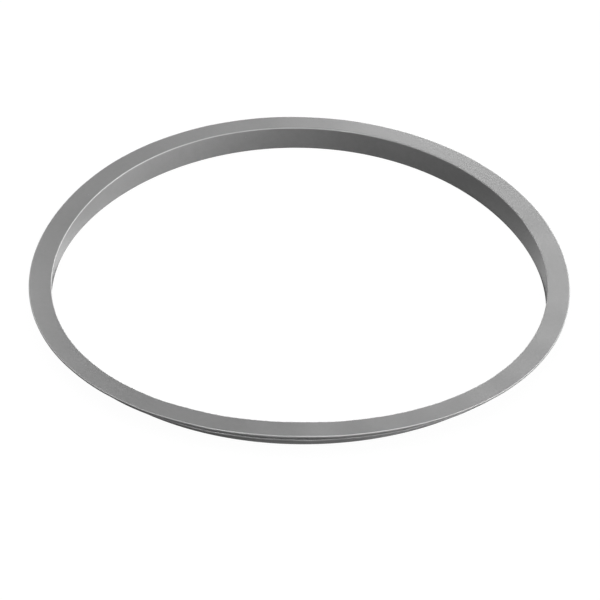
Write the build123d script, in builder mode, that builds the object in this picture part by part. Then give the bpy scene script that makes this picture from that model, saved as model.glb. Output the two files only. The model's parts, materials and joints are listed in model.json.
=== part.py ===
from build123d import *
import os

# Sealing ring for the lid of a 22 cm pressure cooker, moulded in one piece from silicone.
# Millimetres. +Z is up, Z is the axis of the ring, and the ring stands on the foot of its leg at Z = 0.

# Driving dimensions
cooker_size = 220.0          # nominal diameter of the cooker's mouth, which the inner wall keeps
flange_width = 10.0          # from the inner wall to the outer edge, clamped under the rim of the lid
ring_height = 10.8           # foot of the leg to the top face
flange_thickness = 1.3       # at the outer edge
flange_draft = 0.7           # the flange is this much thicker where it joins the leg
leg_thickness_root = 2.4     # under the flange
leg_thickness_foot = 1.1
lip_reach = 4.2              # how far the sealing lip stands out of the leg
lip_thickness_tip = 1.2
lip_thickness_root = 1.7
lip_drop = 4.6               # top face down to the middle of the lip's tip
lip_droop = 0.5              # the tip hangs this much lower than the root

# Corner rounding
inner_edge_round = 0.45
outer_edge_round = 0.45
flange_lower_round = 0.45
groove_round = 0.5
lip_tip_round = 0.45
under_lip_round = 0.6
foot_round = 0.5

# Derived places in the section
inner_radius = cooker_size / 2
outer_radius = inner_radius + flange_width
flange_lower_edge = ring_height - flange_thickness
flange_root = flange_lower_edge - flange_draft
leg_root_radius = inner_radius + leg_thickness_root
leg_foot_radius = inner_radius + leg_thickness_foot
lip_tip_radius = leg_root_radius + lip_reach
lip_tip_middle = ring_height - lip_drop
lip_root_middle = lip_tip_middle + lip_droop


def section_corners():
    """Corners of the section: radius, height and rounding, from the foot outwards and back over the top."""
    return [
        (inner_radius, 0, foot_round),
        (leg_foot_radius, 0, foot_round),
        (leg_root_radius, lip_root_middle - lip_thickness_root / 2, under_lip_round),
        (lip_tip_radius, lip_tip_middle - lip_thickness_tip / 2, lip_tip_round),
        (lip_tip_radius, lip_tip_middle + lip_thickness_tip / 2, lip_tip_round),
        (leg_root_radius, lip_root_middle + lip_thickness_root / 2, groove_round),
        (leg_root_radius, flange_root, groove_round),
        (outer_radius, flange_lower_edge, flange_lower_round),
        (outer_radius, ring_height, outer_edge_round),
        (inner_radius, ring_height, inner_edge_round),
    ]


# Sealing ring: one section turned once around the axis
corners = section_corners()
outline = [(radius, height) for radius, height, _ in corners]
roundings = [rounding for _, _, rounding in corners]

with BuildPart() as sealing_ring:
    with BuildSketch(Plane.XZ):
        with BuildLine():
            FilletPolyline(*outline, radius=roundings, close=True)
        make_face()
    revolve(axis=Axis.Z)

os.makedirs("parts", exist_ok=True)
sealing_ring.part.label = "sealing_ring"
export_step(sealing_ring.part, "parts/sealing_ring.step")
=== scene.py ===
import json
import math

import bpy
import numpy as np
from mathutils import Matrix, Vector


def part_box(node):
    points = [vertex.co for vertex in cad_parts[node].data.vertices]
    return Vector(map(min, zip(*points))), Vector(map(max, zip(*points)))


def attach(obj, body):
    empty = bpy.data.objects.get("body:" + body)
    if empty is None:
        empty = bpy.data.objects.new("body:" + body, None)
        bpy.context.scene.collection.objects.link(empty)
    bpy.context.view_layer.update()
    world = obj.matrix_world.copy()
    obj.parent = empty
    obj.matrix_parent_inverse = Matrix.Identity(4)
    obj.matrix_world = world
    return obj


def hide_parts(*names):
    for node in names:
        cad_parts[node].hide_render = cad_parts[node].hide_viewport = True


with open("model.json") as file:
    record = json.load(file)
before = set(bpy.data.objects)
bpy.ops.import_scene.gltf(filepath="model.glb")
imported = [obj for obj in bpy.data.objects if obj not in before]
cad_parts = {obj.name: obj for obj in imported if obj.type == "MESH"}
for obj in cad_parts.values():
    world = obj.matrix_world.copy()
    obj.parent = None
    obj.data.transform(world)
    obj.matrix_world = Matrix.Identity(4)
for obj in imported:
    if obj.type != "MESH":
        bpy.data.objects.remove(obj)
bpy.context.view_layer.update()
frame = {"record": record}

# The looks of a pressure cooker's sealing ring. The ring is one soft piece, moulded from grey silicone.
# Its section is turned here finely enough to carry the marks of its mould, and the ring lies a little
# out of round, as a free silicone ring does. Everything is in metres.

MM = 0.001

# Sizes that come from the frame
RING = "sealing_ring"
foot_corner, top_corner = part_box(RING)
mounts = {mount["name"]: mount for mount in frame["record"]["mounts"]}
OUTER_RADIUS = mounts["flange_rim"]["dims"]["r_mm"] * MM
FOOT = foot_corner.z
TOP = top_corner.z

# Section of the ring: the CAD model's, with an undercut rim, a slightly lower and thinner lip and tighter roundings
FLANGE_WIDTH = 10.0 * MM
FLANGE_THICKNESS = 1.3 * MM
FLANGE_DRAFT = 0.7 * MM
LEG_THICKNESS_ROOT = 2.4 * MM
LEG_THICKNESS_FOOT = 1.1 * MM
LIP_REACH = 4.2 * MM
LIP_THICKNESS_TIP = 0.9 * MM
LIP_THICKNESS_ROOT = 1.7 * MM
LIP_DROP = 4.7 * MM
LIP_DROOP = 0.5 * MM
INNER_EDGE_ROUND = 0.45 * MM
OUTER_EDGE_ROUND = 0.4 * MM
FLANGE_LOWER_ROUND = 0.3 * MM
GROOVE_ROUND = 0.5 * MM
LIP_TIP_ROUND = 0.4 * MM
UNDER_LIP_ROUND = 0.6 * MM
FOOT_ROUND = 0.5 * MM
RIM_UNDERCUT = 0.3 * MM
INNER_RADIUS = OUTER_RADIUS - FLANGE_WIDTH

# How finely the ring is meshed
STEPS_AROUND = 720
STEPS_PER_ARC = 6
STEP_ALONG_FLAT = 0.8 * MM
STEPS_ALONG_SHORTEST_FLAT = 2

# The relaxed ring's shape: lobes around the ring, how far they stand out, and where the first one points
OUT_OF_ROUND = [
    (2, 2.35 * MM, math.radians(72.7)),
    (3, 2.03 * MM, math.radians(-26.9)),
    (4, 0.48 * MM, math.radians(42.9)),
]

# How far the foot of the leg leans outwards on average (inwards where negative), and the lobes by which that varies
LEG_LEAN = -0.45 * MM
LEG_LEAN_LOBES = [
    (2, 0.41 * MM, math.radians(-29.3)),
    (3, 0.46 * MM, math.radians(42.0)),
    (4, 0.70 * MM, math.radians(-6.6)),
]

# What moulding leaves on the ring: how far it stands out, how much of that is steady and how much waves around the
# ring, how sharply it peaks on its corner, and the lowest and highest number of its waves
FLASH_HEIGHT = 0.07 * MM
FLASH_STEADY, FLASH_WAVING, FLASH_MOST, FLASH_SHARPNESS = 0.6, 0.6, 2, 4
FLASH_WAVES = (40, 300)
PARTING_HEIGHT = 0.03 * MM
PARTING_STEADY, PARTING_WAVING, PARTING_SHARPNESS = 0.8, 0.3, 6
LIP_FLUTTER = 0.12 * MM
LIP_WAVES = (5, 40)
RIPPLE = 0.04 * MM
RIPPLE_WAVES = (4, 30)
SINES_PER_WAVE = 24
FLASH_SEED, PARTING_SEED, FLUTTER_SEED, RIPPLE_SEED = 1, 2, 3, 4

# Painted light on the corners of the section, added to the grey: painted highlights on the rounded edges and the
# lip's tip, and painted bounce light on the foot. The outer edge's painted highlight fades towards one side of the
# ring: by which share, in which direction, and how sharply.
PAINTED_EDGE_LIGHT = {"outer_edge": 0.36, "inner_edge": 0.25, "lip_tip": 0.12, "foot_inside": 0.04, "foot_outside": 0.4}
EDGE_FADE, EDGE_FADE_AT, EDGE_FADE_POWER = 0.75, math.radians(-15), 4

# Silicone: greys are albedos, scales are features per metre, heights are in metres
GREY = 0.22
NOISE_LOW, NOISE_HIGH = 0.3, 0.7
CLOUDS, CLOUD_SHADE = 28.0, 0.05
MOTTLE, MOTTLE_SHADE, MOTTLE_HEIGHT = 450.0, 0.03, 0.007 * MM
GRAIN, GRAIN_SHADE, GRAIN_HEIGHT = 4200.0, 0.05, 0.0025 * MM
ROUGHNESS, ROUGHNESS_SPREAD = 0.5, 0.05
SILICONE_IOR = 1.41
SKIN_WEIGHT, SKIN_ROUGHNESS, SKIN_IOR = 1.0, 0.2, 1.5
TURNING_LINES, TURNING_HEIGHT = 6000.0, 0.004 * MM
DUST_CELLS, DUST_CORE, DUST_SIZE, DUST_SHARE, DUST_GREY = 220.0, 0.0175, 0.035, 0.3, 0.25

# Camera: a long lens at the height of a product photograph, aimed just below the middle of the ring
CAMERA_DISTANCE = 13.72 * OUTER_RADIUS
CAMERA_ELEVATION = math.radians(35.14)
CAMERA_TILT = math.radians(-0.4621)
CAMERA_PAN = math.radians(0.015)
CAMERA_ROLL = math.radians(2.24)
CAMERA_LENS_MM = 225.9
SENSOR_MM = 36.0

# Studio floor: its own grey and glow, and the soft sun over it
FLOOR_SIZE = 24.0
FLOOR_GREY, FLOOR_GLOW = 0.06, 0.965
SUN_ON_FLOOR = 3.15
SUN_SOFTNESS = math.radians(175)

# Pale cards on the floor inside the ring, for the ends of its inner wall to mirror: name, side along X, where the
# glow starts and where it is full, both measured sideways from the middle of the ring, and the full glow
CARD_RADIUS = 107 * MM
CARD_STEPS = 48
CARDS = [
    ("left_card", -1, 78 * MM, 104 * MM, 0.62),
    ("right_card", 1, 60 * MM, 104 * MM, 0.5),
]

# Soft boxes around the ring: name, azimuth from +X and elevation in degrees, side in metres, power in watts,
# and whether the ring mirrors it. Most of the low fill lights aren't mirrored, which keeps their glare off the
# flat face.
SOFT_BOX_DISTANCE = 0.9
SOFT_BOXES = [
    ("key_over_camera", -113, 38, 0.12, 2.7, True),
    ("front", -70, 10, 0.4, 2.7, True),
    ("front_right", -30, 10, 0.4, 2.7, False),
    ("right", 0, 10, 0.4, 7.5, False),
    ("right_behind", 30, 10, 0.4, 11.5, False),
    ("far_right", 62, 24, 0.3, 0.75, True),
    ("behind_above", 75, 30, 0.4, 0.8, True),
    ("behind", 90, 10, 0.4, 1.9, True),
    ("left_behind", 155, 10, 0.4, 1.6, False),
    ("left_behind_above", 120, 42, 0.4, 1.4, True),
]


def section_corners():
    """Corners of the section: name, radius, height and rounding, from the foot outwards and back over the top."""
    leg_root = INNER_RADIUS + LEG_THICKNESS_ROOT
    lip_tip = leg_root + LIP_REACH
    lip_middle = TOP - LIP_DROP
    lip_root_middle = lip_middle + LIP_DROOP
    flange_lower = TOP - FLANGE_THICKNESS
    return [
        ("foot_inside", INNER_RADIUS, FOOT, FOOT_ROUND),
        ("foot_outside", INNER_RADIUS + LEG_THICKNESS_FOOT, FOOT, FOOT_ROUND),
        ("under_lip", leg_root, lip_root_middle - LIP_THICKNESS_ROOT / 2, UNDER_LIP_ROUND),
        ("lip_tip", lip_tip, lip_middle - LIP_THICKNESS_TIP / 2, LIP_TIP_ROUND),
        ("lip_tip", lip_tip, lip_middle + LIP_THICKNESS_TIP / 2, LIP_TIP_ROUND),
        ("groove", leg_root, lip_root_middle + LIP_THICKNESS_ROOT / 2, GROOVE_ROUND),
        ("groove", leg_root, flange_lower - FLANGE_DRAFT, GROOVE_ROUND),
        ("flange_lower", OUTER_RADIUS - RIM_UNDERCUT, flange_lower, FLANGE_LOWER_ROUND),
        ("outer_edge", OUTER_RADIUS, TOP, OUTER_EDGE_ROUND),
        ("inner_edge", INNER_RADIUS, TOP, INNER_EDGE_ROUND),
    ]


def corner_arc(before, corner, after, rounding):
    """Points of the arc that rounds a corner, which may turn either way."""
    towards_before = (before - corner) / np.linalg.norm(before - corner)
    towards_after = (after - corner) / np.linalg.norm(after - corner)
    half_angle = math.acos(np.clip(towards_before @ towards_after, -1, 1)) / 2
    bisector = towards_before + towards_after
    bisector /= np.linalg.norm(bisector)
    centre = corner + bisector * rounding / math.sin(half_angle)
    start = corner + towards_before * rounding / math.tan(half_angle) - centre
    end = corner + towards_after * rounding / math.tan(half_angle) - centre
    turn = math.atan2(start[0] * end[1] - start[1] * end[0], start @ end)
    angles = np.linspace(0, turn, STEPS_PER_ARC + 1)
    spun = [(math.cos(a) * start[0] - math.sin(a) * start[1], math.sin(a) * start[0] + math.cos(a) * start[1])
            for a in angles]
    return centre + np.array(spun)


def section_outline():
    """Closed outline of the section, with each point's corner and how near it is to the middle of that corner."""
    corners = section_corners()
    points = [np.array(corner[1:3]) for corner in corners]
    arcs = [corner_arc(points[i - 1], points[i], points[(i + 1) % len(points)], corners[i][3])
            for i in range(len(points))]
    nearness = np.sin(np.linspace(0, math.pi, STEPS_PER_ARC + 1))
    outline, names, middles = [], [], []
    for i, arc in enumerate(arcs):
        outline.extend(arc)
        names.extend([corners[i][0]] * len(arc))
        middles.extend(nearness)
        run = arcs[(i + 1) % len(arcs)][0] - arc[-1]
        steps = max(STEPS_ALONG_SHORTEST_FLAT, round(np.linalg.norm(run) / STEP_ALONG_FLAT))
        shares = (1 - np.cos(np.linspace(0, math.pi, steps + 1)[1:-1])) / 2
        outline.extend(arc[-1] + run * share for share in shares)
        names.extend(["flat"] * len(shares))
        middles.extend([0.0] * len(shares))
    return np.array(outline), np.array(names), np.array(middles)


def outward_normals(outline):
    """Outward directions of the section at each point of its outline."""
    along = np.roll(outline, -1, axis=0) - np.roll(outline, 1, axis=0)
    along /= np.linalg.norm(along, axis=1)[:, None]
    return np.stack([along[:, 1], -along[:, 0]], axis=-1)


def lobed(angle, lobes):
    """How far a lobed shape stands out from a true circle at an angle."""
    return sum(reach * np.cos(count * (angle - first)) for count, reach, first in lobes)


def waves(angle, wave_range, seed):
    """A closed, irregular wave around the ring, about 1 high, made of many sines."""
    draw = np.random.default_rng(seed)
    lowest, highest = wave_range
    total = np.zeros_like(angle)
    counts = draw.integers(lowest, highest, SINES_PER_WAVE)
    for count, phase in zip(counts, draw.uniform(0, 2 * math.pi, len(counts))):
        total += np.cos(count * angle + phase)
    return total / math.sqrt(len(counts) / 2)


def lip_share(outline):
    """How far along the lip each point of the outline is, and 0 off the lip."""
    leg_root = INNER_RADIUS + LEG_THICKNESS_ROOT
    radius, height = outline[:, 0], outline[:, 1]
    near_lip = abs(height - (TOP - LIP_DROP)) < LIP_THICKNESS_ROOT
    return np.where(near_lip & (radius > leg_root), (radius - leg_root) / LIP_REACH, 0)


def mould_marks(angle, corner, middle):
    """How far the flash and the parting line stand out of the section, at each angle and point of the outline."""
    flash = np.clip(FLASH_STEADY + FLASH_WAVING * waves(angle, FLASH_WAVES, FLASH_SEED), 0, FLASH_MOST)
    flash = np.outer(flash, (corner == "inner_edge") * middle ** FLASH_SHARPNESS)
    parting = PARTING_STEADY + PARTING_WAVING * waves(angle, FLASH_WAVES, PARTING_SEED)
    parting = np.outer(parting, (corner == "outer_edge") * middle ** PARTING_SHARPNESS)
    return FLASH_HEIGHT * flash + PARTING_HEIGHT * parting


def ring_vertices(angle, outline, corner, middle):
    """The section at every angle, with the relaxed ring's shape and the marks of its mould."""
    normal = outward_normals(outline)
    proud = mould_marks(angle, corner, middle)
    rise = (outline[:, 1] - FOOT) / (TOP - FOOT)
    lift = LIP_FLUTTER * np.outer(waves(angle, LIP_WAVES, FLUTTER_SEED), lip_share(outline))
    lift += RIPPLE * np.outer(waves(angle, RIPPLE_WAVES, RIPPLE_SEED), rise ** 2)
    depth = (TOP - outline[:, 1]) / (TOP - FOOT)
    lean = np.outer(LEG_LEAN + lobed(angle, LEG_LEAN_LOBES), depth)
    radius = outline[:, 0] + lobed(angle, OUT_OF_ROUND)[:, None] + lean + proud * normal[:, 0]
    height = outline[:, 1] + lift + proud * normal[:, 1]
    return np.stack([radius * np.cos(angle)[:, None], radius * np.sin(angle)[:, None], height], axis=-1)


def ring_faces(count):
    """Quads that join each section of so many points to the next one around the ring."""
    here = np.arange(STEPS_AROUND)[:, None] * count
    there = (np.arange(STEPS_AROUND)[:, None] + 1) % STEPS_AROUND * count
    low = np.arange(count)[None, :]
    high = (low + 1) % count
    return np.stack([here + low, there + low, there + high, here + high], axis=-1)


def add_painted_edge_light(mesh, angle, corner, middle):
    """An attribute for the silicone: painted light, how much paler each point is than the faces, as painted
    highlights on the edges and the lip's tip and painted bounce light on the foot. The outer edge's painted highlight
    is palest on top.
    """
    outer = corner == "outer_edge"
    lightening = middle * [PAINTED_EDGE_LIGHT.get(corner_name, 0.0) for corner_name in corner]
    # Painted highlight on the outer edge, stronger towards the top of its rounding
    lightening[outer] *= np.linspace(0, 2, STEPS_PER_ARC + 1)
    # Painted highlight on the outer edge, weakened towards one side of the ring
    fade = EDGE_FADE * np.clip(np.cos(angle - EDGE_FADE_AT), 0, 1) ** EDGE_FADE_POWER
    lightening = lightening * (1 - np.outer(fade, outer))
    edges = mesh.attributes.new("edge_lightening", "FLOAT", "POINT")
    edges.data.foreach_set("value", lightening.astype(np.float32).ravel())


def add_ring_map(mesh, outline):
    """A UV map in metres: along the ring at its mean radius, and along the section from the foot."""
    count = len(outline)
    steps = np.linalg.norm(np.roll(outline, -1, axis=0) - outline, axis=1)
    along_section = np.concatenate([[0], np.cumsum(steps)])
    length_around = 2 * math.pi * (INNER_RADIUS + OUTER_RADIUS) / 2
    around = np.arange(STEPS_AROUND + 1) / STEPS_AROUND * length_around
    first = np.repeat(np.arange(STEPS_AROUND), count)
    low = np.tile(np.arange(count), STEPS_AROUND)
    u = np.stack([around[first], around[first + 1], around[first + 1], around[first]], axis=-1)
    v = np.stack([along_section[low], along_section[low], along_section[low + 1], along_section[low + 1]], axis=-1)
    layer = mesh.uv_layers.new(name="along_ring")
    layer.data.foreach_set("uv", np.stack([u, v], axis=-1).astype(np.float32).ravel())


def turned_mesh(name):
    """The ring's mesh: its section turned once around the Z axis."""
    outline, corner, middle = section_outline()
    angle = np.linspace(0, 2 * math.pi, STEPS_AROUND, endpoint=False)
    vertices = ring_vertices(angle, outline, corner, middle)
    faces = ring_faces(len(outline))
    mesh = bpy.data.meshes.new(name)
    mesh.from_pydata(vertices.reshape(-1, 3).tolist(), [], faces.reshape(-1, 4).tolist())
    mesh.shade_smooth()
    add_painted_edge_light(mesh, angle, corner, middle)
    add_ring_map(mesh, outline)
    return mesh


def principled(name):
    """A new material with its Principled node, node tree and links."""
    material = bpy.data.materials.new(name)
    material.use_nodes = True
    tree = material.node_tree
    return material, tree, tree.nodes["Principled BSDF"]


def add_node(tree, kind, **settings):
    """A new node in a tree, with some of its properties set."""
    node = tree.nodes.new(kind)
    for setting, value in settings.items():
        setattr(node, setting, value)
    return node


def noise(tree, place, scale, detail, roughness=0.5):
    """Noise in the object's own space, with its scale in features per metre."""
    node = add_node(tree, "ShaderNodeTexNoise")
    node.inputs["Scale"].default_value = scale
    node.inputs["Detail"].default_value = detail
    node.inputs["Roughness"].default_value = roughness
    tree.links.new(place, node.inputs["Vector"])
    return node.outputs["Fac"]


def remap(tree, value, low, high, to_low, to_high):
    """A value stretched from one range to another and kept inside it."""
    node = add_node(tree, "ShaderNodeMapRange")
    for name, setting in (("From Min", low), ("From Max", high), ("To Min", to_low), ("To Max", to_high)):
        node.inputs[name].default_value = setting
    tree.links.new(value, node.inputs["Value"])
    return node.outputs["Result"]


def combine(tree, operation, first, second):
    """Two values, or a value and a number, joined by one operation."""
    node = add_node(tree, "ShaderNodeMath", operation=operation)
    for socket, term in zip(node.inputs, (first, second)):
        if isinstance(term, (int, float)):
            socket.default_value = term
        else:
            tree.links.new(term, socket)
    return node.outputs["Value"]


def dust(tree, place):
    """Sparse lint and dust specks, which silicone always gathers: 1 on a speck and 0 elsewhere."""
    cells = add_node(tree, "ShaderNodeTexVoronoi")
    cells.inputs["Scale"].default_value = DUST_CELLS
    tree.links.new(place, cells.inputs["Vector"])
    speck = remap(tree, cells.outputs["Distance"], DUST_CORE, DUST_SIZE, 1, 0)
    lottery = add_node(tree, "ShaderNodeSeparateColor")
    tree.links.new(cells.outputs["Color"], lottery.inputs["Color"])
    chosen = combine(tree, "GREATER_THAN", lottery.outputs["Red"], 1 - DUST_SHARE)
    return combine(tree, "MULTIPLY", speck, chosen)


def turning_marks(tree):
    """Faint lines around the ring, copied from the turned mould: a noise that changes only across the section."""
    ring_map = add_node(tree, "ShaderNodeUVMap", uv_map="along_ring")
    split = add_node(tree, "ShaderNodeSeparateXYZ")
    tree.links.new(ring_map.outputs["UV"], split.inputs["Vector"])
    lines = add_node(tree, "ShaderNodeTexNoise", noise_dimensions="1D")
    lines.inputs["Scale"].default_value = TURNING_LINES
    lines.inputs["Detail"].default_value = 2.0
    tree.links.new(split.outputs["Y"], lines.inputs["W"])
    return lines.outputs["Fac"]


def bump(tree, height, distance, under=None):
    """A bump of a height in metres, over another bump if there is one."""
    node = add_node(tree, "ShaderNodeBump")
    node.inputs["Distance"].default_value = distance
    tree.links.new(height, node.inputs["Height"])
    if under:
        tree.links.new(under, node.inputs["Normal"])
    return node.outputs["Normal"]


def silicone():
    """Grey moulded silicone: satin, with a fine grain, faint marks of the mould, soft clouds, a little dust, and
    painted highlights and painted bounce light on the corners of its section.
    """
    material, tree, shader = principled("grey_silicone")
    shader.inputs["IOR"].default_value = SILICONE_IOR
    shader.inputs["Coat Weight"].default_value = SKIN_WEIGHT
    shader.inputs["Coat Roughness"].default_value = SKIN_ROUGHNESS
    shader.inputs["Coat IOR"].default_value = SKIN_IOR
    place = add_node(tree, "ShaderNodeTexCoord").outputs["Object"]
    # Painted highlights on the edges and painted bounce light on the foot, read from the mesh
    edge = add_node(tree, "ShaderNodeAttribute", attribute_name="edge_lightening").outputs["Fac"]
    clouds = noise(tree, place, CLOUDS, detail=3.0)
    mottle = noise(tree, place, MOTTLE, detail=2.0)
    grain = noise(tree, place, GRAIN, detail=2.0, roughness=0.6)
    specks = dust(tree, place)

    shade = combine(tree, "ADD", remap(tree, clouds, NOISE_LOW, NOISE_HIGH, -CLOUD_SHADE, CLOUD_SHADE),
                    remap(tree, mottle, NOISE_LOW, NOISE_HIGH, -MOTTLE_SHADE, MOTTLE_SHADE))
    shade = combine(tree, "ADD", shade, remap(tree, grain, NOISE_LOW, NOISE_HIGH, -GRAIN_SHADE, GRAIN_SHADE))
    grey = combine(tree, "MULTIPLY", combine(tree, "ADD", shade, 1.0), GREY)
    # The painted highlights and painted bounce light are added to the grey
    grey = combine(tree, "ADD", grey, edge)
    grey = combine(tree, "ADD", grey, combine(tree, "MULTIPLY", specks, DUST_GREY))
    colour = add_node(tree, "ShaderNodeCombineColor")
    for channel in ("Red", "Green", "Blue"):
        tree.links.new(grey, colour.inputs[channel])
    tree.links.new(colour.outputs["Color"], shader.inputs["Base Color"])

    roughness = remap(tree, mottle, NOISE_LOW, NOISE_HIGH, ROUGHNESS - ROUGHNESS_SPREAD, ROUGHNESS + ROUGHNESS_SPREAD)
    tree.links.new(roughness, shader.inputs["Roughness"])

    normal = bump(tree, grain, GRAIN_HEIGHT)
    normal = bump(tree, turning_marks(tree), TURNING_HEIGHT, normal)
    normal = bump(tree, mottle, MOTTLE_HEIGHT, normal)
    tree.links.new(normal, shader.inputs["Normal"])
    tree.links.new(normal, shader.inputs["Coat Normal"])
    return material


def studio_plane(name, corners, grey, glow):
    """A flat glowing surface of the studio, which casts no shadow and lights the ring only as a reflection."""
    mesh = bpy.data.meshes.new(name)
    mesh.from_pydata([(x, y, FOOT) for x, y in corners], [], [range(len(corners))])
    plane = bpy.data.objects.new(name, mesh)
    bpy.context.scene.collection.objects.link(plane)
    material, tree, shader = principled(name)
    shader.inputs["Base Color"].default_value = (grey, grey, grey, 1)
    shader.inputs["Roughness"].default_value = 1.0
    shader.inputs["Specular IOR Level"].default_value = 0.0
    shader.inputs["Emission Color"].default_value = (1, 1, 1, 1)
    shader.inputs["Emission Strength"].default_value = glow
    mesh.materials.append(material)
    plane.visible_shadow = False
    plane.visible_diffuse = False
    return plane, tree, shader


def studio_floor():
    """A wide pale floor to look at, which the ring doesn't mirror."""
    half = FLOOR_SIZE / 2
    floor, _, _ = studio_plane("floor", [(-half, -half), (half, -half), (half, half), (-half, half)],
                               FLOOR_GREY, FLOOR_GLOW)
    floor.visible_glossy = False


def pale_card(name, side, start, full, glow):
    """A pale card on the floor at one side of the ring's inside, which only the reflections show."""
    half = math.acos(start / CARD_RADIUS)
    corners = [(side * CARD_RADIUS * math.cos(angle), CARD_RADIUS * math.sin(angle))
               for angle in np.linspace(-half, half, CARD_STEPS)]
    card, tree, shader = studio_plane(name, corners, 0.0, glow)
    split = add_node(tree, "ShaderNodeSeparateXYZ")
    tree.links.new(add_node(tree, "ShaderNodeTexCoord").outputs["Object"], split.inputs["Vector"])
    strength = remap(tree, split.outputs["X"], side * start, side * full, 0.0, glow)
    tree.links.new(strength, shader.inputs["Emission Strength"])
    card.visible_camera = False


def shine_only_on(light, name):
    """Link a light to one object, so that it lights nothing else."""
    receivers = bpy.data.collections.new("lit_by_" + light.name)
    receivers.objects.link(bpy.data.objects[name])
    light.light_linking.receiver_collection = receivers


def soft_box(name, azimuth, elevation, side, power, mirrored):
    """A square area light that shines on the ring only, with or without its reflection in the ring."""
    data = bpy.data.lights.new(name, "AREA")
    data.size = side
    data.energy = power
    across = math.cos(math.radians(elevation))
    direction = Vector((across * math.cos(math.radians(azimuth)), across * math.sin(math.radians(azimuth)),
                        math.sin(math.radians(elevation))))
    light = bpy.data.objects.new(name, data)
    light.location = direction * SOFT_BOX_DISTANCE
    light.rotation_euler = direction.to_track_quat("Z", "Y").to_euler()
    light.visible_camera = False
    light.visible_glossy = mirrored
    bpy.context.scene.collection.objects.link(light)
    shine_only_on(light, "moulded_ring")


def floor_light():
    """A very soft sun from straight above, which makes the floor evenly pale with a faint contact shadow."""
    data = bpy.data.lights.new("floor_light", "SUN")
    data.energy = SUN_ON_FLOOR
    data.angle = SUN_SOFTNESS
    light = bpy.data.objects.new("floor_light", data)
    bpy.context.scene.collection.objects.link(light)
    shine_only_on(light, "floor")


def pale_world():
    """A white background to look at, which lights nothing."""
    world = bpy.data.worlds.new("studio")
    bpy.context.scene.world = world
    world.use_nodes = True
    background = world.node_tree.nodes["Background"]
    background.inputs["Color"].default_value = (1, 1, 1, 1)
    world.cycles_visibility.diffuse = False
    world.cycles_visibility.glossy = False


def studio_light():
    """Plain soft light: soft boxes around the ring, a small key over the camera, and an even pale floor."""
    for settings in SOFT_BOXES:
        soft_box(*settings)
    floor_light()
    pale_world()


def product_camera():
    """A camera that looks down on the ring from the front, turned a little about its own line of sight."""
    centre = Vector((0, 0, TOP))
    back = Vector((0, -math.cos(CAMERA_ELEVATION), math.sin(CAMERA_ELEVATION)))
    right = Vector((1, 0, 0))
    up = back.cross(right)
    forward = (-back + math.tan(CAMERA_PAN) * right + math.tan(CAMERA_TILT) * up).normalized()
    right = forward.cross(Vector((0, 0, 1))).normalized()
    up = right.cross(forward)
    turned_right = math.cos(CAMERA_ROLL) * right + math.sin(CAMERA_ROLL) * up
    turned_up = -math.sin(CAMERA_ROLL) * right + math.cos(CAMERA_ROLL) * up
    data = bpy.data.cameras.new("camera")
    data.sensor_width = SENSOR_MM
    data.lens = CAMERA_LENS_MM
    camera = bpy.data.objects.new("camera", data)
    camera.matrix_world = Matrix((turned_right, turned_up, -forward)).transposed().to_4x4()
    camera.location = centre + back * CAMERA_DISTANCE
    bpy.context.scene.collection.objects.link(camera)
    bpy.context.scene.camera = camera


def moulded_ring():
    """The ring itself, which stands for the CAD solid."""
    ring = bpy.data.objects.new("moulded_ring", turned_mesh("moulded_ring"))
    bpy.context.scene.collection.objects.link(ring)
    ring.data.materials.append(silicone())
    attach(ring, "root")
    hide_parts(RING)


moulded_ring()
studio_floor()
for card_settings in CARDS:
    pale_card(*card_settings)
studio_light()
product_camera()
bpy.context.scene.view_settings.view_transform = "Standard"
